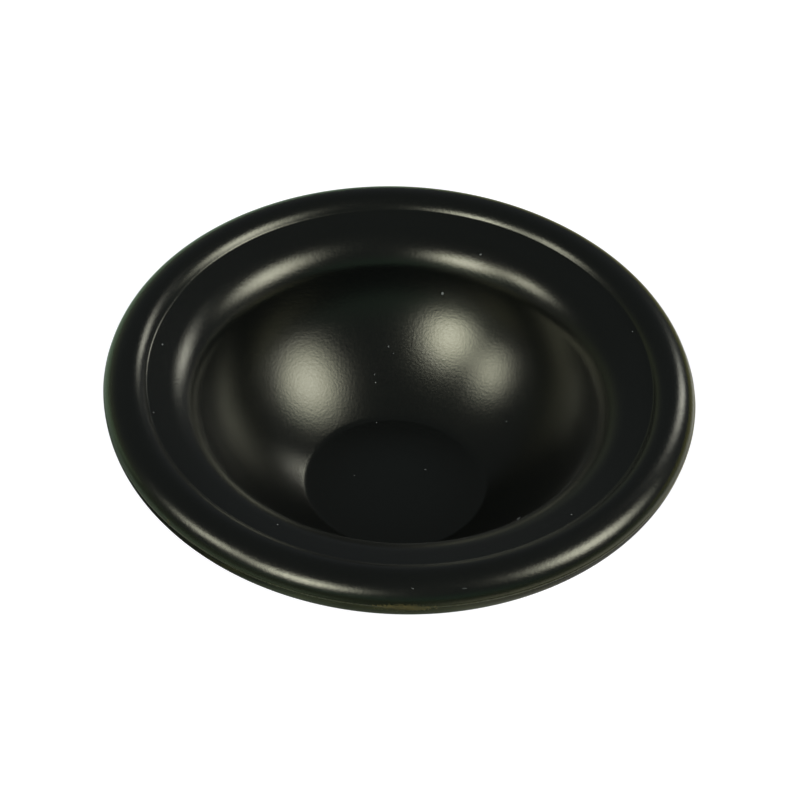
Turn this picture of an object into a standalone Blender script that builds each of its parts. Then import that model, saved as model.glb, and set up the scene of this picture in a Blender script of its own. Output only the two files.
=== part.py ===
"""Rubber diaphragm: one moulding with a thick sealing bead, a sloping land and a deep bowl.

Lengths are metres and +Z is up. The diaphragm stands on the flat underside of its floor, with the
bowl open upwards. The origin is the centre of that underside, and the Z axis is the axis of the bowl.

The section is drawn at +X as (radius, height) points. A slope is the angle at which the upper surface
falls towards the axis, and the underside follows the upper surface one wall thickness away.
"""

from math import asin, cos, hypot, radians, sin

import bpy

# To the skin of the bead, without the flash
OUTER_RADIUS = 0.045

# Sealing bead: its upper and lower halves meet at the parting line of the mould
BEAD_OUTER_WIDTH = 0.00371
BEAD_INNER_WIDTH = 0.00325
BEAD_TOP = 0.00324
BEAD_BOTTOM = 0.00372

# Ridge that stands proud on the parting line, where the flash was trimmed
FLASH_HEIGHT = 0.0002
FLASH_WIDTH = 0.0005

# Crease where the bead's inner flank runs into the land
CREASE_RADIUS = 0.00065
CREASE_SLOPE = radians(53.7)

# Land between the crease and the shoulder of the bowl
LAND_LENGTH = 0.00316
LAND_SLOPE = radians(14.6)

# Bowl: a rounded shoulder, two sweeping arcs, a small corner and a flat floor
SHOULDER_RADIUS = 0.00691
THROAT_SLOPE = radians(74.6)
UPPER_BOWL_RADIUS = 0.0239
WAIST_SLOPE = radians(53.8)
LOWER_BOWL_RADIUS = 0.0345
CORNER_RADIUS = 0.0015
FLOOR_RADIUS = 0.0138

WALL = 0.0022

# How finely the round forms are divided
SEGMENTS = 96
BEAD_STEPS = 5
CREASE_STEPS = 2
SHOULDER_STEPS = 6
BOWL_STEPS = 4
CORNER_STEPS = 2

RUBBER_COLOUR = (0.0091, 0.0100, 0.0091, 1.0)
RUBBER_ROUGHNESS = 0.38


def between(start, end, steps):
    """Evenly spaced angles from start to end, both included."""
    return [start + (end - start) * i / steps for i in range(steps + 1)]


def upward(slope):
    """The unit normal of an upper surface that falls towards the axis at this slope."""
    return -sin(slope), cos(slope)


def along(point, direction, distance):
    return point[0] + direction[0] * distance, point[1] + direction[1] * distance


def ellipse_offset(half_width, half_height, tilt):
    """Where the normal of an ellipse leans this far from its short axis: (across, up) from its centre."""
    across, up = half_width * sin(tilt), half_height * cos(tilt)
    length = hypot(across, up)
    return half_width * across / length, half_height * up / length


def arc(centre, radius, slopes):
    """Points of the arc whose normals are those of the slopes. A negative radius is a hollow arc."""
    return [along(centre, upward(slope), radius) for slope in slopes]


def bead_arc(side, half_width, half_height, tilts):
    """Part of the bead. side is 1 outside the crest and -1 inside it, and half_height is negative below."""
    crest = OUTER_RADIUS - BEAD_OUTER_WIDTH
    up = 1 if half_height > 0 else -1
    offsets = [ellipse_offset(half_width, abs(half_height), tilt) for tilt in tilts]
    return [(crest + side * across, up * height) for across, height in offsets]


def under_crease_tilt(land_start):
    """The tilt at which the bead's lower inner flank meets the underside of the land, by halving."""
    normal = upward(LAND_SLOPE)
    low, high = 0.0, radians(90)
    for _ in range(40):
        middle = (low + high) / 2
        (radius, height), = bead_arc(-1, BEAD_INNER_WIDTH, -BEAD_BOTTOM, [middle])
        depth = (radius - land_start[0]) * normal[0] + (height - land_start[1]) * normal[1]
        if depth < -WALL:
            low = middle
        else:
            high = middle
    return low


def section():
    """The closed half section, from the axis up the bowl, over the bead and back under to the axis."""
    quarter = radians(90)

    # Each arc starts where the one before it ends, at the same slope
    flank_end, = bead_arc(-1, BEAD_INNER_WIDTH, BEAD_TOP, [CREASE_SLOPE])
    crease_centre = along(flank_end, upward(CREASE_SLOPE), CREASE_RADIUS)
    land_start = along(crease_centre, upward(LAND_SLOPE), -CREASE_RADIUS)
    land_end = along(land_start, (-cos(LAND_SLOPE), -sin(LAND_SLOPE)), LAND_LENGTH)
    shoulder_centre = along(land_end, upward(LAND_SLOPE), -SHOULDER_RADIUS)
    upper_centre = along(shoulder_centre, upward(THROAT_SLOPE), SHOULDER_RADIUS + UPPER_BOWL_RADIUS)
    lower_centre = along(upper_centre, upward(WAIST_SLOPE), LOWER_BOWL_RADIUS - UPPER_BOWL_RADIUS)
    reach = FLOOR_RADIUS - lower_centre[0]
    corner_slope = asin(max(0.0, reach / (LOWER_BOWL_RADIUS - CORNER_RADIUS)))
    corner_centre = along(lower_centre, upward(corner_slope), CORNER_RADIUS - LOWER_BOWL_RADIUS)
    floor_height = corner_centre[1] - CORNER_RADIUS

    crease_slopes = between(LAND_SLOPE, CREASE_SLOPE, CREASE_STEPS)
    shoulder_slopes = between(THROAT_SLOPE, LAND_SLOPE, SHOULDER_STEPS)
    upper_slopes = between(WAIST_SLOPE, THROAT_SLOPE, BOWL_STEPS)
    lower_slopes = between(corner_slope, WAIST_SLOPE, BOWL_STEPS)
    corner_slopes = between(0.0, corner_slope, CORNER_STEPS)

    upper = [(0.0, floor_height)]
    upper += arc(corner_centre, -CORNER_RADIUS, corner_slopes)
    upper += arc(lower_centre, -LOWER_BOWL_RADIUS, lower_slopes[1:])
    upper += arc(upper_centre, -UPPER_BOWL_RADIUS, upper_slopes[1:])
    upper += arc(shoulder_centre, SHOULDER_RADIUS, shoulder_slopes[1:])
    upper += arc(crease_centre, -CREASE_RADIUS, crease_slopes[:-1])
    upper += bead_arc(-1, BEAD_INNER_WIDTH, BEAD_TOP, between(CREASE_SLOPE, 0.0, BEAD_STEPS))

    # The trimmed flash takes the place of the bead's widest points
    rim = bead_arc(1, BEAD_OUTER_WIDTH, BEAD_TOP, between(0.0, quarter, BEAD_STEPS)[1:-1])
    rim += [
        (OUTER_RADIUS, FLASH_WIDTH / 2),
        (OUTER_RADIUS + FLASH_HEIGHT, 0.0),
        (OUTER_RADIUS, -FLASH_WIDTH / 2),
    ]
    rim += bead_arc(1, BEAD_OUTER_WIDTH, -BEAD_BOTTOM, between(quarter, 0.0, BEAD_STEPS)[1:])

    under_tilts = between(0.0, under_crease_tilt(land_start), BEAD_STEPS)
    lower = bead_arc(-1, BEAD_INNER_WIDTH, -BEAD_BOTTOM, under_tilts[1:])
    lower += arc(shoulder_centre, SHOULDER_RADIUS - WALL, shoulder_slopes[::-1])
    lower += arc(upper_centre, -UPPER_BOWL_RADIUS - WALL, upper_slopes[-2::-1])
    lower += arc(lower_centre, -LOWER_BOWL_RADIUS - WALL, lower_slopes[-2::-1])
    lower += arc(corner_centre, -CORNER_RADIUS - WALL, corner_slopes[-2::-1])
    lower += [(0.0, floor_height - WALL)]

    lift = WALL - floor_height
    return [(radius, height + lift) for radius, height in upper + rim + lower]


def rubber():
    """Black nitrile rubber, moulded to a satin skin."""
    material = bpy.data.materials.new("black_rubber")
    material.use_nodes = True
    shader = material.node_tree.nodes["Principled BSDF"]
    shader.inputs["Base Color"].default_value = RUBBER_COLOUR
    shader.inputs["Roughness"].default_value = RUBBER_ROUGHNESS
    shader.inputs["Metallic"].default_value = 0.0
    return material


def turned(name, points, material, collection):
    """An object whose open section is swept once round the Z axis."""
    edges = [(i, i + 1) for i in range(len(points) - 1)]
    mesh = bpy.data.meshes.new(name)
    mesh.from_pydata([(radius, 0.0, height) for radius, height in points], edges, [])
    mesh.materials.append(material)
    turned_object = bpy.data.objects.new(name, mesh)
    collection.objects.link(turned_object)

    screw = turned_object.modifiers.new("turn", "SCREW")
    screw.axis = "Z"
    screw.angle = radians(360)
    screw.steps = SEGMENTS
    screw.render_steps = SEGMENTS
    screw.use_merge_vertices = True
    screw.merge_threshold = 0.00001
    screw.use_smooth_shade = True
    return turned_object


def main():
    for old in list(bpy.data.objects):
        bpy.data.objects.remove(old)
    collection = bpy.data.collections.new("rubber_diaphragm")
    bpy.context.scene.collection.children.link(collection)
    turned("diaphragm", section(), rubber(), collection)


main()
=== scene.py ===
"""Looks of the rubber diaphragm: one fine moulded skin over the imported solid, with dust and a trimmed edge.

Lengths are metres unless a name says otherwise, +Z is up, and the diaphragm stands on the floor at Z 0.
"""

from math import asin, cos, radians, sin, tan

import bpy
import numpy as np
from mathutils import Matrix, Quaternion, Vector


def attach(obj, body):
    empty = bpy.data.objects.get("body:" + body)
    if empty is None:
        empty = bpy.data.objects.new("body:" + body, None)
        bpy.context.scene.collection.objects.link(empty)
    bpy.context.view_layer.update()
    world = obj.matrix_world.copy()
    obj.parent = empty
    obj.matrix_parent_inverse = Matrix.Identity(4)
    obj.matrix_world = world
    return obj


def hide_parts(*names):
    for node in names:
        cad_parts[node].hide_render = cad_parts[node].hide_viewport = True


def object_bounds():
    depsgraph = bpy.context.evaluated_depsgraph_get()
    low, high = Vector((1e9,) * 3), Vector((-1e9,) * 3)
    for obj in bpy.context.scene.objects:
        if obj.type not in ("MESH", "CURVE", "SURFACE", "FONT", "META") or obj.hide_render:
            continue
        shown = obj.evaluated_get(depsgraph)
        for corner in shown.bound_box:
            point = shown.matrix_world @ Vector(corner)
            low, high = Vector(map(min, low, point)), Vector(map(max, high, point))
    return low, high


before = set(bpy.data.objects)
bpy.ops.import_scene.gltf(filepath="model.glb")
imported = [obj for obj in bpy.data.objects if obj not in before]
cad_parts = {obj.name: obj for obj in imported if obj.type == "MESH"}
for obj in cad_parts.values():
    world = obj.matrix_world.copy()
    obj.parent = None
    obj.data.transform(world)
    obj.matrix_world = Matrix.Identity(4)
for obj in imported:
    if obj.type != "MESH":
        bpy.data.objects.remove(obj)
cad_low, cad_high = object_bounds()

MM = 0.001

# The section of the moulding, as the solid has it but with a softer corner round the floor. A slope is how
# steeply the upper surface falls inwards
OUTER_RADIUS = 45.0 * MM
BEAD_OUTER_WIDTH = 3.71 * MM
BEAD_INNER_WIDTH = 3.25 * MM
BEAD_TOP = 3.24 * MM
BEAD_BOTTOM = 3.72 * MM
FLASH_HEIGHT = 0.2 * MM
CREASE_RADIUS = 0.65 * MM
CREASE_SLOPE = radians(53.7)
LAND_LENGTH = 3.16 * MM
LAND_SLOPE = radians(14.6)
SHOULDER_RADIUS = 6.91 * MM
THROAT_SLOPE = radians(74.6)
UPPER_BOWL_RADIUS = 23.9 * MM
WAIST_SLOPE = radians(53.8)
LOWER_BOWL_RADIUS = 34.5 * MM
CORNER_RADIUS = 2.4 * MM
FLOOR_RADIUS = 13.65 * MM
WALL = 2.2 * MM

PARTING_HEIGHT = cad_high.z - BEAD_TOP

# Trimmed flash: how far over the parting line its ridge lies, how far that level wanders, half its thickness,
# how far in from the widest point it starts, and the azimuths where it is tallest and where its cut takes the
# most painted light, on the right where the right-hand lamp lights it
RIDGE_RISE = 0.2 * MM
RIDGE_WANDER = 0.06 * MM
RIDGE_HALF = 0.22 * MM
RIDGE_DEPTH = 0.2 * MM
RIDGE_TALLEST = radians(50)
CUT_MOST_LIT = radians(5)

# Streaked band along the front of the rim: the depth of its middle under the parting line, the height over
# which it fades, and how far in from the widest point it reaches
BAND_DROP = 0.6 * MM
BAND_FADE = 0.7 * MM
BAND_DEPTH = 1.5 * MM

# How finely the skin is divided: steps round the axis, then steps along each part of the section. The rim is
# the last part of the bead, from this tilt on, and has closer rows for the flash
AROUND = 420
FLOOR_STEPS = 8
CORNER_STEPS = 8
LOWER_BOWL_STEPS = 26
UPPER_BOWL_STEPS = 22
SHOULDER_STEPS = 24
LAND_STEPS = 6
CREASE_STEPS = 8
BEAD_STEPS = 16
UNDER_FLANK_STEPS = 12
RIM_STEPS = 8
RIM_TILT = radians(80)

# The photograph's view: a square frame this many pixels across, seen from the -Y side
PICTURE = 800
PIXELS_PER_RADIUS = 296.8
CAMERA_DISTANCE = 8 * OUTER_RADIUS
CAMERA_ELEVATION = radians(44.8)
CAMERA_ROLL = radians(2.881)
CAMERA_AIM = (0.0034 * OUTER_RADIUS, -0.0857 * OUTER_RADIUS, PARTING_HEIGHT)
SENSOR = 36.0

# Four soft lamps: azimuth from +X towards +Y, elevation, spread across, spread up, then turn of the face, all
# in degrees, and the brightness of its middle
LAMP_DISTANCE = 2.5
LAMPS = {
    "lamp_right": (-12.0, 38.0, 26.5, 26.0, 0.0, 8.7),
    "lamp_front": (-121.4, 32.4, 23.0, 22.0, 0.0, 10.8),
    "lamp_left": (-157.6, 33.0, 18.5, 17.0, 0.0, 7.1),
    "lamp_back": (48.5, 28.5, 9.5, 18.0, -30.0, 7.5),
}
LAMP_COLOUR = "#f5f5ff"
SKY_COLOUR = "#4c5059"

# Softly lit walls that the rubber reflects: azimuth in degrees, the cosine from it at which the glow has faded
# out, the sine of the elevation at which it ends, and its colour
GLOWING_WALLS = [(142.0, 0.55, 0.5, "#79816f"), (-90.0, 0.3, 0.62, "#5f7d75")]

# Grains of pale dust: where each shows in the picture (x, y in pixels), its length and width in millimetres
# and the turn of its length in degrees
DUST = [
    (442, 293, 0.52, 0.36, 80), (388, 346, 0.36, 0.20, 80), (393, 353, 0.24, 0.12, 0),
    (374, 374, 0.28, 0.20, 70), (375, 382, 0.22, 0.20, 0), (376, 422, 0.28, 0.20, 40),
    (518, 518, 0.70, 0.55, 20), (632, 331, 0.26, 0.18, 110), (277, 524, 0.24, 0.17, 0),
    (425, 469, 0.34, 0.26, 30), (571, 514, 0.26, 0.20, 0), (354, 475, 0.28, 0.20, 60),
    (506, 421, 0.22, 0.17, 150), (480, 254, 0.38, 0.27, 10), (162, 344, 0.30, 0.21, 90),
    (153, 412, 0.27, 0.20, 70), (464, 588, 0.80, 0.05, 5), (412, 588, 0.40, 0.10, 160),
]
GRAIN_HEIGHT = 0.09 * MM

# Olive marks on the rim: azimuth in degrees, then height over the parting line, half length and half height
MARKS = [(-87.0, 0.0 * MM, 3.4 * MM, 0.6 * MM), (-135.5, 0.3 * MM, 0.4 * MM, 0.4 * MM)]


def colour(code):
    """An sRGB hex colour as linear RGBA."""
    parts = [int(code[i:i + 2], 16) / 255 for i in (1, 3, 5)]
    return tuple(c / 12.92 if c <= 0.04045 else ((c + 0.055) / 1.055) ** 2.4 for c in parts) + (1.0,)


def direction(azimuth, elevation):
    """The unit vector at this azimuth from +X towards +Y and this elevation, both in radians."""
    return Vector((cos(elevation) * cos(azimuth), cos(elevation) * sin(azimuth), sin(elevation)))


def sloped_normals(slopes):
    """Unit normals (inwards, up) of an upper surface at these slopes: (-sin, cos) of each."""
    return np.column_stack([-np.sin(slopes), np.cos(slopes)])


def bead_points(side, half_width, half_height, tilts):
    """Ellipse points where the normal tilts this far from the vertical: half axis squared times the sine
    or cosine, over the length of (half width x sine, half height x cosine)."""
    across, up = half_width * np.sin(tilts), abs(half_height) * np.cos(tilts)
    length = np.hypot(across, up)
    crest = OUTER_RADIUS - BEAD_OUTER_WIDTH
    return np.column_stack([crest + side * half_width * across / length, half_height * up / length])


def under_crease_tilt(land_start):
    """The tilt at which the lower inner flank is one wall below the line of the land, read off a fine fan
    of tilts by interpolation."""
    tilts = np.linspace(0.0, radians(90), 2001)
    flank = bead_points(-1, BEAD_INNER_WIDTH, -BEAD_BOTTOM, tilts)
    depth = (flank - land_start) @ sloped_normals(np.array([LAND_SLOPE]))[0]
    return np.interp(-WALL, depth, tilts)


def section():
    """The half section as (radius, height) rows, from the axis up the bowl, over the bead and back under.
    Arcs are a centre plus a radius times the normals of evenly spaced slopes, each one tangent to the next."""
    quarter = radians(90)
    crease_normal, land_normal, throat_normal, waist_normal = sloped_normals(
        np.array([CREASE_SLOPE, LAND_SLOPE, THROAT_SLOPE, WAIST_SLOPE]))
    flank_end = bead_points(-1, BEAD_INNER_WIDTH, BEAD_TOP, np.array([CREASE_SLOPE]))[0]
    crease_centre = flank_end + CREASE_RADIUS * crease_normal
    land_start = crease_centre - CREASE_RADIUS * land_normal
    land_end = land_start - LAND_LENGTH * np.array([cos(LAND_SLOPE), sin(LAND_SLOPE)])
    shoulder_centre = land_end - SHOULDER_RADIUS * land_normal
    upper_centre = shoulder_centre + (SHOULDER_RADIUS + UPPER_BOWL_RADIUS) * throat_normal
    lower_centre = upper_centre + (LOWER_BOWL_RADIUS - UPPER_BOWL_RADIUS) * waist_normal
    inset = LOWER_BOWL_RADIUS - CORNER_RADIUS
    corner_slope = asin((FLOOR_RADIUS - lower_centre[0]) / inset)
    corner_centre = lower_centre - inset * sloped_normals(np.array([corner_slope]))[0]
    floor_height = corner_centre[1] - CORNER_RADIUS

    def fan(start, end, steps):
        """Normals from one slope to the other."""
        return sloped_normals(np.linspace(start, end, steps + 1))

    corner = fan(0.0, corner_slope, CORNER_STEPS)
    lower_bowl = fan(corner_slope, WAIST_SLOPE, LOWER_BOWL_STEPS)[1:]
    upper_bowl = fan(WAIST_SLOPE, THROAT_SLOPE, UPPER_BOWL_STEPS)[1:]
    shoulder = fan(THROAT_SLOPE, LAND_SLOPE, SHOULDER_STEPS)[1:]
    crease = fan(LAND_SLOPE, CREASE_SLOPE, CREASE_STEPS)

    def floor_row(height):
        """Points from the axis to the edge of the floor."""
        radii = np.linspace(0.0, FLOOR_RADIUS, FLOOR_STEPS + 1)
        return np.column_stack([radii, np.full(len(radii), height)])

    def land_row(start, end):
        """Points between the ends of a straight run, without the ends."""
        return start + np.linspace(0.0, 1.0, LAND_STEPS + 1)[1:-1, None] * (end - start)

    def bead_row(side, half_width, half_height, start, end, steps):
        """Points of the bead from one tilt to the other, without the first."""
        return bead_points(side, half_width, half_height, np.linspace(start, end, steps + 1))[1:]

    under_land_end = shoulder_centre + (SHOULDER_RADIUS - WALL) * land_normal
    under_flank = bead_row(-1, BEAD_INNER_WIDTH, -BEAD_BOTTOM, 0.0, under_crease_tilt(land_start),
                           UNDER_FLANK_STEPS)
    rows = np.vstack([
        floor_row(floor_height)[:-1],
        corner_centre - CORNER_RADIUS * corner,
        lower_centre - LOWER_BOWL_RADIUS * lower_bowl,
        upper_centre - UPPER_BOWL_RADIUS * upper_bowl,
        shoulder_centre + SHOULDER_RADIUS * shoulder,
        land_row(land_end, land_start),
        crease_centre - CREASE_RADIUS * crease,
        bead_row(-1, BEAD_INNER_WIDTH, BEAD_TOP, CREASE_SLOPE, 0.0, BEAD_STEPS),
        bead_row(1, BEAD_OUTER_WIDTH, BEAD_TOP, 0.0, RIM_TILT, BEAD_STEPS),
        bead_row(1, BEAD_OUTER_WIDTH, BEAD_TOP, RIM_TILT, quarter, RIM_STEPS),
        bead_row(1, BEAD_OUTER_WIDTH, -BEAD_BOTTOM, quarter, RIM_TILT, RIM_STEPS),
        bead_row(1, BEAD_OUTER_WIDTH, -BEAD_BOTTOM, RIM_TILT, 0.0, BEAD_STEPS),
        under_flank,
        land_row(under_flank[-1], under_land_end),
        shoulder_centre + (SHOULDER_RADIUS - WALL) * shoulder[::-2],
        upper_centre - (UPPER_BOWL_RADIUS + WALL) * upper_bowl[::-2],
        lower_centre - (LOWER_BOWL_RADIUS + WALL) * lower_bowl[::-2],
        corner_centre - (CORNER_RADIUS + WALL) * corner[::-2],
        floor_row(floor_height - WALL)[-2::-1],
    ])
    return np.maximum(rows + [0.0, PARTING_HEIGHT], 0.0)


def wave(angles, seed, highest=24):
    """A smooth wander round the rim, about -1 to 1: sines of whole turn counts with seeded weights."""
    rng = np.random.default_rng(seed)
    counts = np.arange(1, highest + 1)
    weights = rng.normal(size=highest) / np.sqrt(counts)
    phases = rng.uniform(0, 2 * np.pi, highest)
    total = (weights[:, None] * np.sin(np.outer(counts, angles) + phases[:, None])).sum(axis=0)
    return total / np.abs(total).max()


def share_near(angles, middle):
    """1 within about 30 degrees of the middle and 0 beyond about 66: 2.2 times the cosine, less 0.9."""
    return np.clip(2.2 * np.cos(angles - middle) - 0.9, 0, 1)


def moulded_skin(rows):
    """The section turned about Z: x is radius times cosine, y radius times sine. The trimmed flash adds a
    tent-shaped ridge near the parting line. Its height follows a cosine round the rim, as it was cut closer on
    the front left, and its height and level wander. Also gives each point's share of the cut, which is fainter
    in front, and of the streaked band, and the cut's share of painted highlight, strongest on the right where
    the right-hand lamp lights it: half of one plus the cosine of the angle from there."""
    angles = np.arange(AROUND) * 2 * np.pi / AROUND
    radius, height = rows[1:-1, 0][:, None], rows[1:-1, 1][:, None]
    level = PARTING_HEIGHT + RIDGE_RISE + RIDGE_WANDER * wave(angles, 3)
    ridge = np.clip(1 - np.abs(height - level) / RIDGE_HALF, 0, 1) * (radius > OUTER_RADIUS - RIDGE_DEPTH)
    tall = FLASH_HEIGHT * (0.5 + 0.3 * np.cos(angles - RIDGE_TALLEST) + 0.12 * wave(angles, 5, 60))
    swept = radius + ridge * tall
    ring = np.stack([swept * np.cos(angles), swept * np.sin(angles), np.broadcast_to(height, swept.shape)], -1)
    count = len(radius)
    points = np.vstack([[[0, 0, rows[0, 1]]], ring.reshape(-1, 3), [[0, 0, rows[-1, 1]]]])

    here = 1 + np.arange(count * AROUND).reshape(count, AROUND)
    after = np.roll(here, -1, axis=1)
    quads = np.stack([here[:-1], after[:-1], after[1:], here[1:]], -1).reshape(-1, 4)[:, ::-1]
    last = len(points) - 1
    top_fan = np.column_stack([np.zeros(AROUND, int), here[0], after[0]])
    bottom_fan = np.column_stack([np.full(AROUND, last), after[-1], here[-1]])
    off_middle = np.abs(height - PARTING_HEIGHT + BAND_DROP)
    front = share_near(angles, radians(-90)) * (radius > OUTER_RADIUS - BAND_DEPTH)
    band = front * np.clip(1.6 - off_middle / BAND_FADE, 0, 1)
    # Painted highlight on the cut: its share of painted light, highest on the right
    pale = 0.5 + 0.5 * np.cos(angles - CUT_MOST_LIT)
    dulled = ridge * (1 - 0.8 * share_near(angles, radians(-82)))
    shares = [np.concatenate([[0.0], np.broadcast_to(share, swept.shape).ravel(), [0.0]])
              for share in (dulled, band, pale)]
    return points, top_fan.tolist() + quads.tolist() + bottom_fan.tolist(), shares


def surface_object(name, points, faces, material):
    """An object at the origin with these points and faces, smooth shaded."""
    mesh = bpy.data.meshes.new(name)
    mesh.from_pydata(points.tolist(), [], faces)
    mesh.materials.append(material)
    mesh.shade_smooth()
    piece = bpy.data.objects.new(name, mesh)
    bpy.context.scene.collection.objects.link(piece)
    return piece


def add_node(tree, kind, settings=None, **links):
    """Adds a node, sets its properties and input values, and links its inputs. A link's name is the input's
    name with underscores, or _ and the input's number."""
    node = tree.nodes.new(kind)
    for key, value in (settings or {}).items():
        if isinstance(key, int) or key in node.inputs:
            node.inputs[key].default_value = value
        else:
            setattr(node, key, value)
    for key, source in links.items():
        socket = node.inputs[int(key[1:])] if key[1:].isdigit() else node.inputs[key.replace("_", " ")]
        tree.links.new(source, socket)
    return node


def computed(tree, kind, operation, sides):
    """A maths node of this kind. Each side is a value or another node's output."""
    given = {i: side for i, side in enumerate(sides) if not isinstance(side, bpy.types.NodeSocket)}
    linked = {f"_{i}": side for i, side in enumerate(sides) if isinstance(side, bpy.types.NodeSocket)}
    return add_node(tree, kind, {"operation": operation, **given}, **linked)


def number(tree, operation, *sides):
    """The number that the operation gives."""
    return computed(tree, "ShaderNodeMath", operation, sides).outputs[0]


def vector(tree, operation, *sides):
    """The vector that the operation gives, or the number if it gives one."""
    node = computed(tree, "ShaderNodeVectorMath", operation, sides)
    return node.outputs["Value" if operation in ("LENGTH", "DISTANCE", "DOT_PRODUCT") else "Vector"]


def ramp(tree, source, start, end, first=0.0, last=1.0, kind="LINEAR"):
    """A number that goes from first to last as the source goes from start to end, and stays there beyond."""
    return add_node(tree, "ShaderNodeMapRange", {
        "interpolation_type": kind, "From Min": start, "From Max": end, "To Min": first, "To Max": last},
        Value=source).outputs["Result"]


def mixed(tree, share, first, second):
    """A colour from first at share 0 to second at share 1. Each is a colour's code or a node's output."""
    ends = {6: first, 7: second}
    given = {i: colour(end) for i, end in ends.items() if isinstance(end, str)}
    linked = {f"_{i}": end for i, end in ends.items() if not isinstance(end, str)}
    return add_node(tree, "ShaderNodeMix", {"data_type": "RGBA", **given}, _0=share, **linked).outputs[2]


def noise(tree, place, size, detail, roughness=0.5):
    """Soft noise from 0 to 1 whose largest features are about this many metres across."""
    return add_node(tree, "ShaderNodeTexNoise", {"Scale": 1 / size, "Detail": detail, "Roughness": roughness},
                    Vector=place).outputs["Fac"]


def rubbed_marks(tree, place, grain):
    """A mask that is 1 on the olive marks of the rim and fades to 0 round them with a ragged edge: each mark
    is an ellipsoid about its point on the rim, whose distance the grain pushes in and out."""
    ragged = number(tree, "MULTIPLY", grain, 2.6)
    total = 0.0
    for azimuth, rise, half_length, half_height in MARKS:
        centre = OUTER_RADIUS * direction(radians(azimuth), 0.0) + Vector((0, 0, PARTING_HEIGHT + rise))
        offset = vector(tree, "SUBTRACT", place, centre)
        far = vector(tree, "LENGTH", vector(tree, "DIVIDE", offset, (half_length, half_length, half_height)))
        mask = ramp(tree, number(tree, "ADD", far, ragged), 1.7, 2.6, 1.0, 0.0)
        total = number(tree, "MAXIMUM", total, mask)
    return total


def moulded_nitrile():
    """Nitrile rubber with carbon black, compression moulded in a polished tool: nearly black with a faint
    green cast, a satin skin whose fine wrinkles break up the edges of the highlights, a painted reflection
    that greys the middle of the floor, a pale, rough line where the flash was cut, partly painted highlight
    and painted creamier towards the right where the right-hand lamp lights it, and olive streaks and marks
    where the rim was rubbed."""
    material = bpy.data.materials.new("moulded_nitrile_rubber")
    material.use_nodes = True
    tree = material.node_tree
    shader = tree.nodes["Principled BSDF"]
    place = add_node(tree, "ShaderNodeTexCoord").outputs["Object"]
    cut, pale, band = (add_node(tree, "ShaderNodeAttribute", {"attribute_name": name}).outputs["Fac"]
                       for name in ("trimmed", "cut_painted_light", "front_band"))

    cloud = noise(tree, place, 9 * MM, 3.0)
    grain = noise(tree, place, 0.4 * MM, 3.0, 0.6)
    peel = noise(tree, place, 1.6 * MM, 2.0)

    body = mixed(tree, cloud, "#070908", "#0a0c0b")
    # Painted reflection: the middle of the floor is painted greyer, fading out by 13 mm from the middle
    from_middle = vector(tree, "DISTANCE", place, (0.0, -1.5 * MM, WALL))
    body_and_floor_reflection = mixed(tree, ramp(tree, from_middle, 5 * MM, 13 * MM, 1.0, 0.0, "SMOOTHSTEP"), body, "#0d100f")
    # The cut is painted paler than the body and creamier towards the right, as a painted highlight where the
    # lamps catch the parting line
    edge = mixed(tree, cut, body_and_floor_reflection, mixed(tree, pale, "#4f5648", "#b3b18f"))

    # Dull streaks that run along the front of the rim
    flatter = vector(tree, "MULTIPLY", place, (1.0, 1.0, 16.0))
    streak = ramp(tree, noise(tree, flatter, 5 * MM, 2.0), 0.4, 0.6)
    fibre = ramp(tree, noise(tree, flatter, 8 * MM, 3.0), 0.46, 0.72)
    olive = mixed(tree, number(tree, "MULTIPLY", streak, band), edge, "#34341c")
    rubbed = rubbed_marks(tree, place, grain)
    marked = mixed(tree, rubbed, olive, mixed(tree, fibre, "#2a2812", "#83733a"))
    tree.links.new(marked, shader.inputs["Base Color"])

    gloss = ramp(tree, grain, 0.3, 0.7, 0.19, 0.255)
    dull = number(tree, "MAXIMUM", cut, rubbed)
    rough = add_node(tree, "ShaderNodeMix", {3: 0.6}, _0=dull, _2=gloss)
    tree.links.new(rough.outputs[0], shader.inputs["Roughness"])

    soft = add_node(tree, "ShaderNodeBump", {"Strength": 0.25, "Distance": 0.02 * MM}, Height=peel)
    fine = add_node(tree, "ShaderNodeBump", {"Strength": 0.6, "Distance": 0.038 * MM}, Height=grain,
                    Normal=soft.outputs["Normal"])
    tree.links.new(fine.outputs["Normal"], shader.inputs["Normal"])

    # The index is above nitrile's 1.52, for highlights as strong as the photograph's
    shader.inputs["IOR"].default_value = 1.7
    shader.inputs["Specular Tint"].default_value = colour("#ffffda")
    shader.inputs["Sheen Weight"].default_value = 0.05
    shader.inputs["Sheen Roughness"].default_value = 0.4
    shader.inputs["Sheen Tint"].default_value = colour("#eef0d8")
    return material


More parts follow.
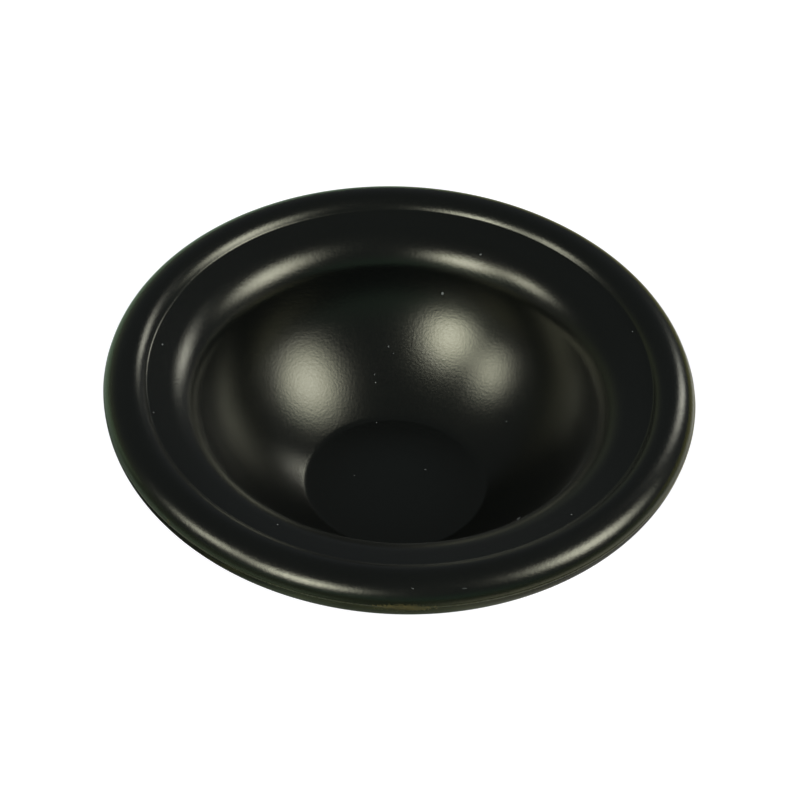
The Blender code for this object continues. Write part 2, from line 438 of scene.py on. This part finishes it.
def white_paper():
    """Matt paper that takes the shadow. The camera sees it lit up to white. The rubber sees it as a painted
    reflection instead, because the real one shows no white ground in its skin: dim in front, green at the back
    left, olive at the back right, with a paler ring close round the part, glowing on the right, that paints
    the light lines along the rim, and painted shade under the rim at the front corners."""
    material = bpy.data.materials.new("matt_white_paper")
    material.use_nodes = True
    tree = material.node_tree
    tree.nodes.clear()
    path = add_node(tree, "ShaderNodeLightPath")
    place = add_node(tree, "ShaderNodeTexCoord").outputs["Object"]
    parts = add_node(tree, "ShaderNodeSeparateXYZ", None, Vector=place)
    x, y = parts.outputs["X"], parts.outputs["Y"]
    away = vector(tree, "LENGTH", place)
    aside = number(tree, "ABSOLUTE", x)
    rightwards = ramp(tree, x, -20 * MM, 40 * MM)

    green, olive, dim = "#b8d8ae", "#a3a162", "#69735a"
    pale_green, cream, shaded = "#cce6c6", "#fffde0", "#0c100c"
    far = mixed(tree, ramp(tree, y, 2 * MM, 36 * MM), dim, mixed(tree, rightwards, green, olive))
    near = mixed(tree, rightwards, pale_green, cream)
    ring = number(tree, "MULTIPLY", ramp(tree, away, 72 * MM, 130 * MM, 1.0, 0.0),
                  ramp(tree, aside, 10 * MM, 34 * MM, 0.1, 1.0))
    # Painted shade under the rim at the front corners, close round the part
    corner = number(tree, "MULTIPLY", ramp(tree, aside, 12 * MM, 34 * MM), ramp(tree, y, 26 * MM, 10 * MM))
    painted_rim_shade = number(tree, "MULTIPLY", ramp(tree, away, 60 * MM, 84 * MM, 0.97, 0.0), corner)
    painted_reflection = mixed(tree, painted_rim_shade, mixed(tree, ring, far, near), shaded)
    tint = mixed(tree, path.outputs["Is Glossy Ray"], "#9a9a9a", painted_reflection)
    matt = add_node(tree, "ShaderNodeBsdfDiffuse", None, Color=tint)

    # Painted glow: the ring on the right also shines for reflections only, painting the light line along the
    # right of the rim
    painted_glow = number(tree, "MULTIPLY", number(tree, "MULTIPLY", ring, ramp(tree, x, 10 * MM, 40 * MM)),
                   path.outputs["Is Glossy Ray"])
    level = number(tree, "ADD", number(tree, "MULTIPLY", path.outputs["Is Camera Ray"], 0.90),
                   number(tree, "MULTIPLY", painted_glow, 0.18))
    glow = add_node(tree, "ShaderNodeEmission", {"Color": colour("#ffffff")}, Strength=level)
    both = add_node(tree, "ShaderNodeAddShader", None, _0=matt.outputs[0], _1=glow.outputs[0])
    add_node(tree, "ShaderNodeOutputMaterial", None, Surface=both.outputs[0])
    return material


def make_floor():
    """A square sheet of paper, wide enough to fill the picture."""
    half = 3.0
    corners = np.array([[-half, -half, 0], [half, -half, 0], [half, half, 0], [-half, half, 0]])
    floor = surface_object("floor", corners, [[0, 1, 2, 3]], white_paper())


def side_glow(tree, way, azimuth, narrow, highest):
    """How strongly a direction looks at a softly lit wall: it falls off away from the wall's azimuth, and
    from the horizon up to the sine of its highest elevation."""
    facing = vector(tree, "DOT_PRODUCT", way, direction(radians(azimuth), 0.0))
    rise = add_node(tree, "ShaderNodeSeparateXYZ", None, Vector=way).outputs["Z"]
    return number(tree, "MULTIPLY", ramp(tree, facing, narrow, 1.0, kind="SMOOTHSTEP"),
                  ramp(tree, rise, 0.0, highest, 1.0, 0.0, "SMOOTHSTEP"))


def make_sky():
    """A white backdrop to the camera. To everything else a dim even light with the glowing walls in it, a
    green-grey one back left and a teal one in front."""
    world = bpy.data.worlds.new("studio")
    bpy.context.scene.world = world
    world.use_nodes = True
    tree = world.node_tree
    tree.nodes.clear()
    path = add_node(tree, "ShaderNodeLightPath")
    seen = number(tree, "MAXIMUM", path.outputs["Is Camera Ray"], path.outputs["Is Transmission Ray"])
    way = add_node(tree, "ShaderNodeTexCoord").outputs["Generated"]
    around = SKY_COLOUR
    for azimuth, narrow, highest, wall in GLOWING_WALLS:
        around = mixed(tree, side_glow(tree, way, azimuth, narrow, highest), around, wall)
    shown = mixed(tree, seen, around, "#ffffff")
    light = add_node(tree, "ShaderNodeBackground", {"Strength": 1.0}, Color=shown)
    add_node(tree, "ShaderNodeOutputWorld", None, Surface=light.outputs[0])


def fade_from_middle(data, brightness):
    """The lamp's face is brightest in its middle: brightness times (1 - r squared) cubed, where r is 1 at the
    edge. Blender spreads the lamp's energy over its face, so the energy is what a brightness of 1 takes."""
    data.use_nodes = True
    tree = data.node_tree
    tree.nodes.clear()
    face = add_node(tree, "ShaderNodeNewGeometry").outputs["Parametric"]
    offset = vector(tree, "MULTIPLY", vector(tree, "SUBTRACT", face, (0.5, 0.5, 0.0)), (2.0, 2.0, 0.0))
    left = number(tree, "SUBTRACT", 1.0, vector(tree, "DOT_PRODUCT", offset, offset))
    faded = number(tree, "POWER", number(tree, "MAXIMUM", left, 0.0), 3.0)
    strength = number(tree, "MULTIPLY", faded, brightness)
    glow = add_node(tree, "ShaderNodeEmission", {"Color": colour(LAMP_COLOUR)}, Strength=strength)
    add_node(tree, "ShaderNodeOutputLight", None, Surface=glow.outputs[0])


def make_lamps():
    """Soft oval lamps that face the diaphragm, each brightest in its middle."""
    target = Vector((0, 0, PARTING_HEIGHT))
    for name, (azimuth, elevation, across, upwards, turn, brightness) in LAMPS.items():
        half_width, half_height = (LAMP_DISTANCE * tan(radians(spread)) for spread in (across, upwards))
        data = bpy.data.lights.new(name, "AREA")
        data.shape = "ELLIPSE"
        data.size, data.size_y = 2 * half_width, 2 * half_height
        data.energy = np.pi ** 2 * half_width * half_height
        fade_from_middle(data, brightness)
        lamp = bpy.data.objects.new(name, data)
        away = direction(radians(azimuth), radians(elevation))
        lamp.location = target + LAMP_DISTANCE * away
        lamp.rotation_euler = (away.to_track_quat("Z", "Y") @ Quaternion((0, 0, 1), radians(turn))).to_euler()
        bpy.context.scene.collection.objects.link(lamp)


def camera_axes():
    """Right, up and back of the camera, rolled so that the picture turns clockwise."""
    back = Vector((0, -cos(CAMERA_ELEVATION), sin(CAMERA_ELEVATION)))
    right, up = Vector((1, 0, 0)), Vector((0, sin(CAMERA_ELEVATION), cos(CAMERA_ELEVATION)))
    turned_right = right * cos(CAMERA_ROLL) + up * sin(CAMERA_ROLL)
    turned_up = up * cos(CAMERA_ROLL) - right * sin(CAMERA_ROLL)
    return turned_right, turned_up, back


def make_camera():
    """The photograph's camera, from the size of the rim in the picture and the camera's distance."""
    right, up, back = camera_axes()
    data = bpy.data.cameras.new("camera")
    data.lens = SENSOR * PIXELS_PER_RADIUS * CAMERA_DISTANCE / OUTER_RADIUS / PICTURE
    data.sensor_width = SENSOR
    data.clip_start, data.clip_end = 0.01, 20
    camera = bpy.data.objects.new("camera", data)
    matrix = Matrix((right, up, back)).transposed().to_4x4()
    matrix.translation = Vector(CAMERA_AIM) + CAMERA_DISTANCE * back
    camera.matrix_world = matrix
    bpy.context.scene.collection.objects.link(camera)
    bpy.context.scene.camera = camera


def settled_dust():
    """Pale dust lying loose on the rubber: matt, so its grains show as light flecks beside the gloss."""
    material = bpy.data.materials.new("settled_pale_dust")
    material.use_nodes = True
    tree = material.node_tree
    shader = tree.nodes["Principled BSDF"]
    place = add_node(tree, "ShaderNodeTexCoord").outputs["Object"]
    shade = mixed(tree, noise(tree, place, 9 * MM, 1.0), "#666a62", "#8c9086")
    tree.links.new(shade, shader.inputs["Base Color"])
    shader.inputs["Roughness"].default_value = 0.9
    return material


def make_dust(skin):
    """Flattened grains lying on the skin where the picture shows them. Each is a sphere, x = sin t cos a,
    y = sin t sin a, z = cos t, stretched to its length, width and height in the plane of the skin."""
    right, up, back = camera_axes()
    eye = Vector(CAMERA_AIM) + CAMERA_DISTANCE * back
    pixels_away = PIXELS_PER_RADIUS * CAMERA_DISTANCE / OUTER_RADIUS
    rings, sides = 6, 12
    down, turn = np.linspace(0, np.pi, rings + 2)[1:-1], np.arange(sides) * 2 * np.pi / sides
    ball = np.vstack([[[0, 0, 1]], np.stack([
        np.outer(np.sin(down), np.cos(turn)), np.outer(np.sin(down), np.sin(turn)),
        np.repeat(np.cos(down)[:, None], sides, axis=1)], -1).reshape(-1, 3), [[0, 0, -1]]])
    here = 1 + np.arange(rings * sides).reshape(rings, sides)
    after = np.roll(here, -1, axis=1)
    shell = [[0, a, b] for a, b in zip(here[0], after[0])]
    shell += np.stack([here[:-1], here[1:], after[1:], after[:-1]], -1).reshape(-1, 4).tolist()
    shell += [[len(ball) - 1, b, a] for a, b in zip(here[-1], after[-1])]

    points, faces = [], []
    for x, y, length, width, turned in DUST:
        ray = (x + 0.5 - PICTURE / 2) * right - (y + 0.5 - PICTURE / 2) * up - pixels_away * back
        found, spot, normal, _ = skin.ray_cast(eye, ray.normalized())
        if not found:
            continue
        across = (right - right.dot(normal) * normal).normalized()
        beside = normal.cross(across)
        lengthwise = cos(radians(turned)) * across + sin(radians(turned)) * beside
        widthwise = normal.cross(lengthwise)
        axes = np.array([lengthwise * length * MM, widthwise * width * MM, normal * GRAIN_HEIGHT]) / 2
        faces += [[len(points) * len(ball) + i for i in face] for face in shell]
        points.append(ball @ axes + np.array(spot))
    grains = surface_object("dust_grains", np.vstack(points), faces, settled_dust())
    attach(grains, "root")


def make_diaphragm():
    """The skin with its dust, in place of the solid."""
    points, faces, shares = moulded_skin(section())
    skin = surface_object("diaphragm_skin", points, faces, moulded_nitrile())
    skin.data.set_sharp_from_angle(angle=radians(25))
    for name, share in zip(("trimmed", "front_band", "cut_painted_light"), shares):
        attribute = skin.data.attributes.new(name, "FLOAT", "POINT")
        attribute.data.foreach_set("value", share.astype(np.float32))
    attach(skin, "root")
    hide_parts("diaphragm")
    bpy.context.view_layer.update()
    make_dust(skin)


bpy.context.scene.view_settings.view_transform = "Standard"
make_camera()
make_floor()
make_sky()
make_lamps()
make_diaphragm()
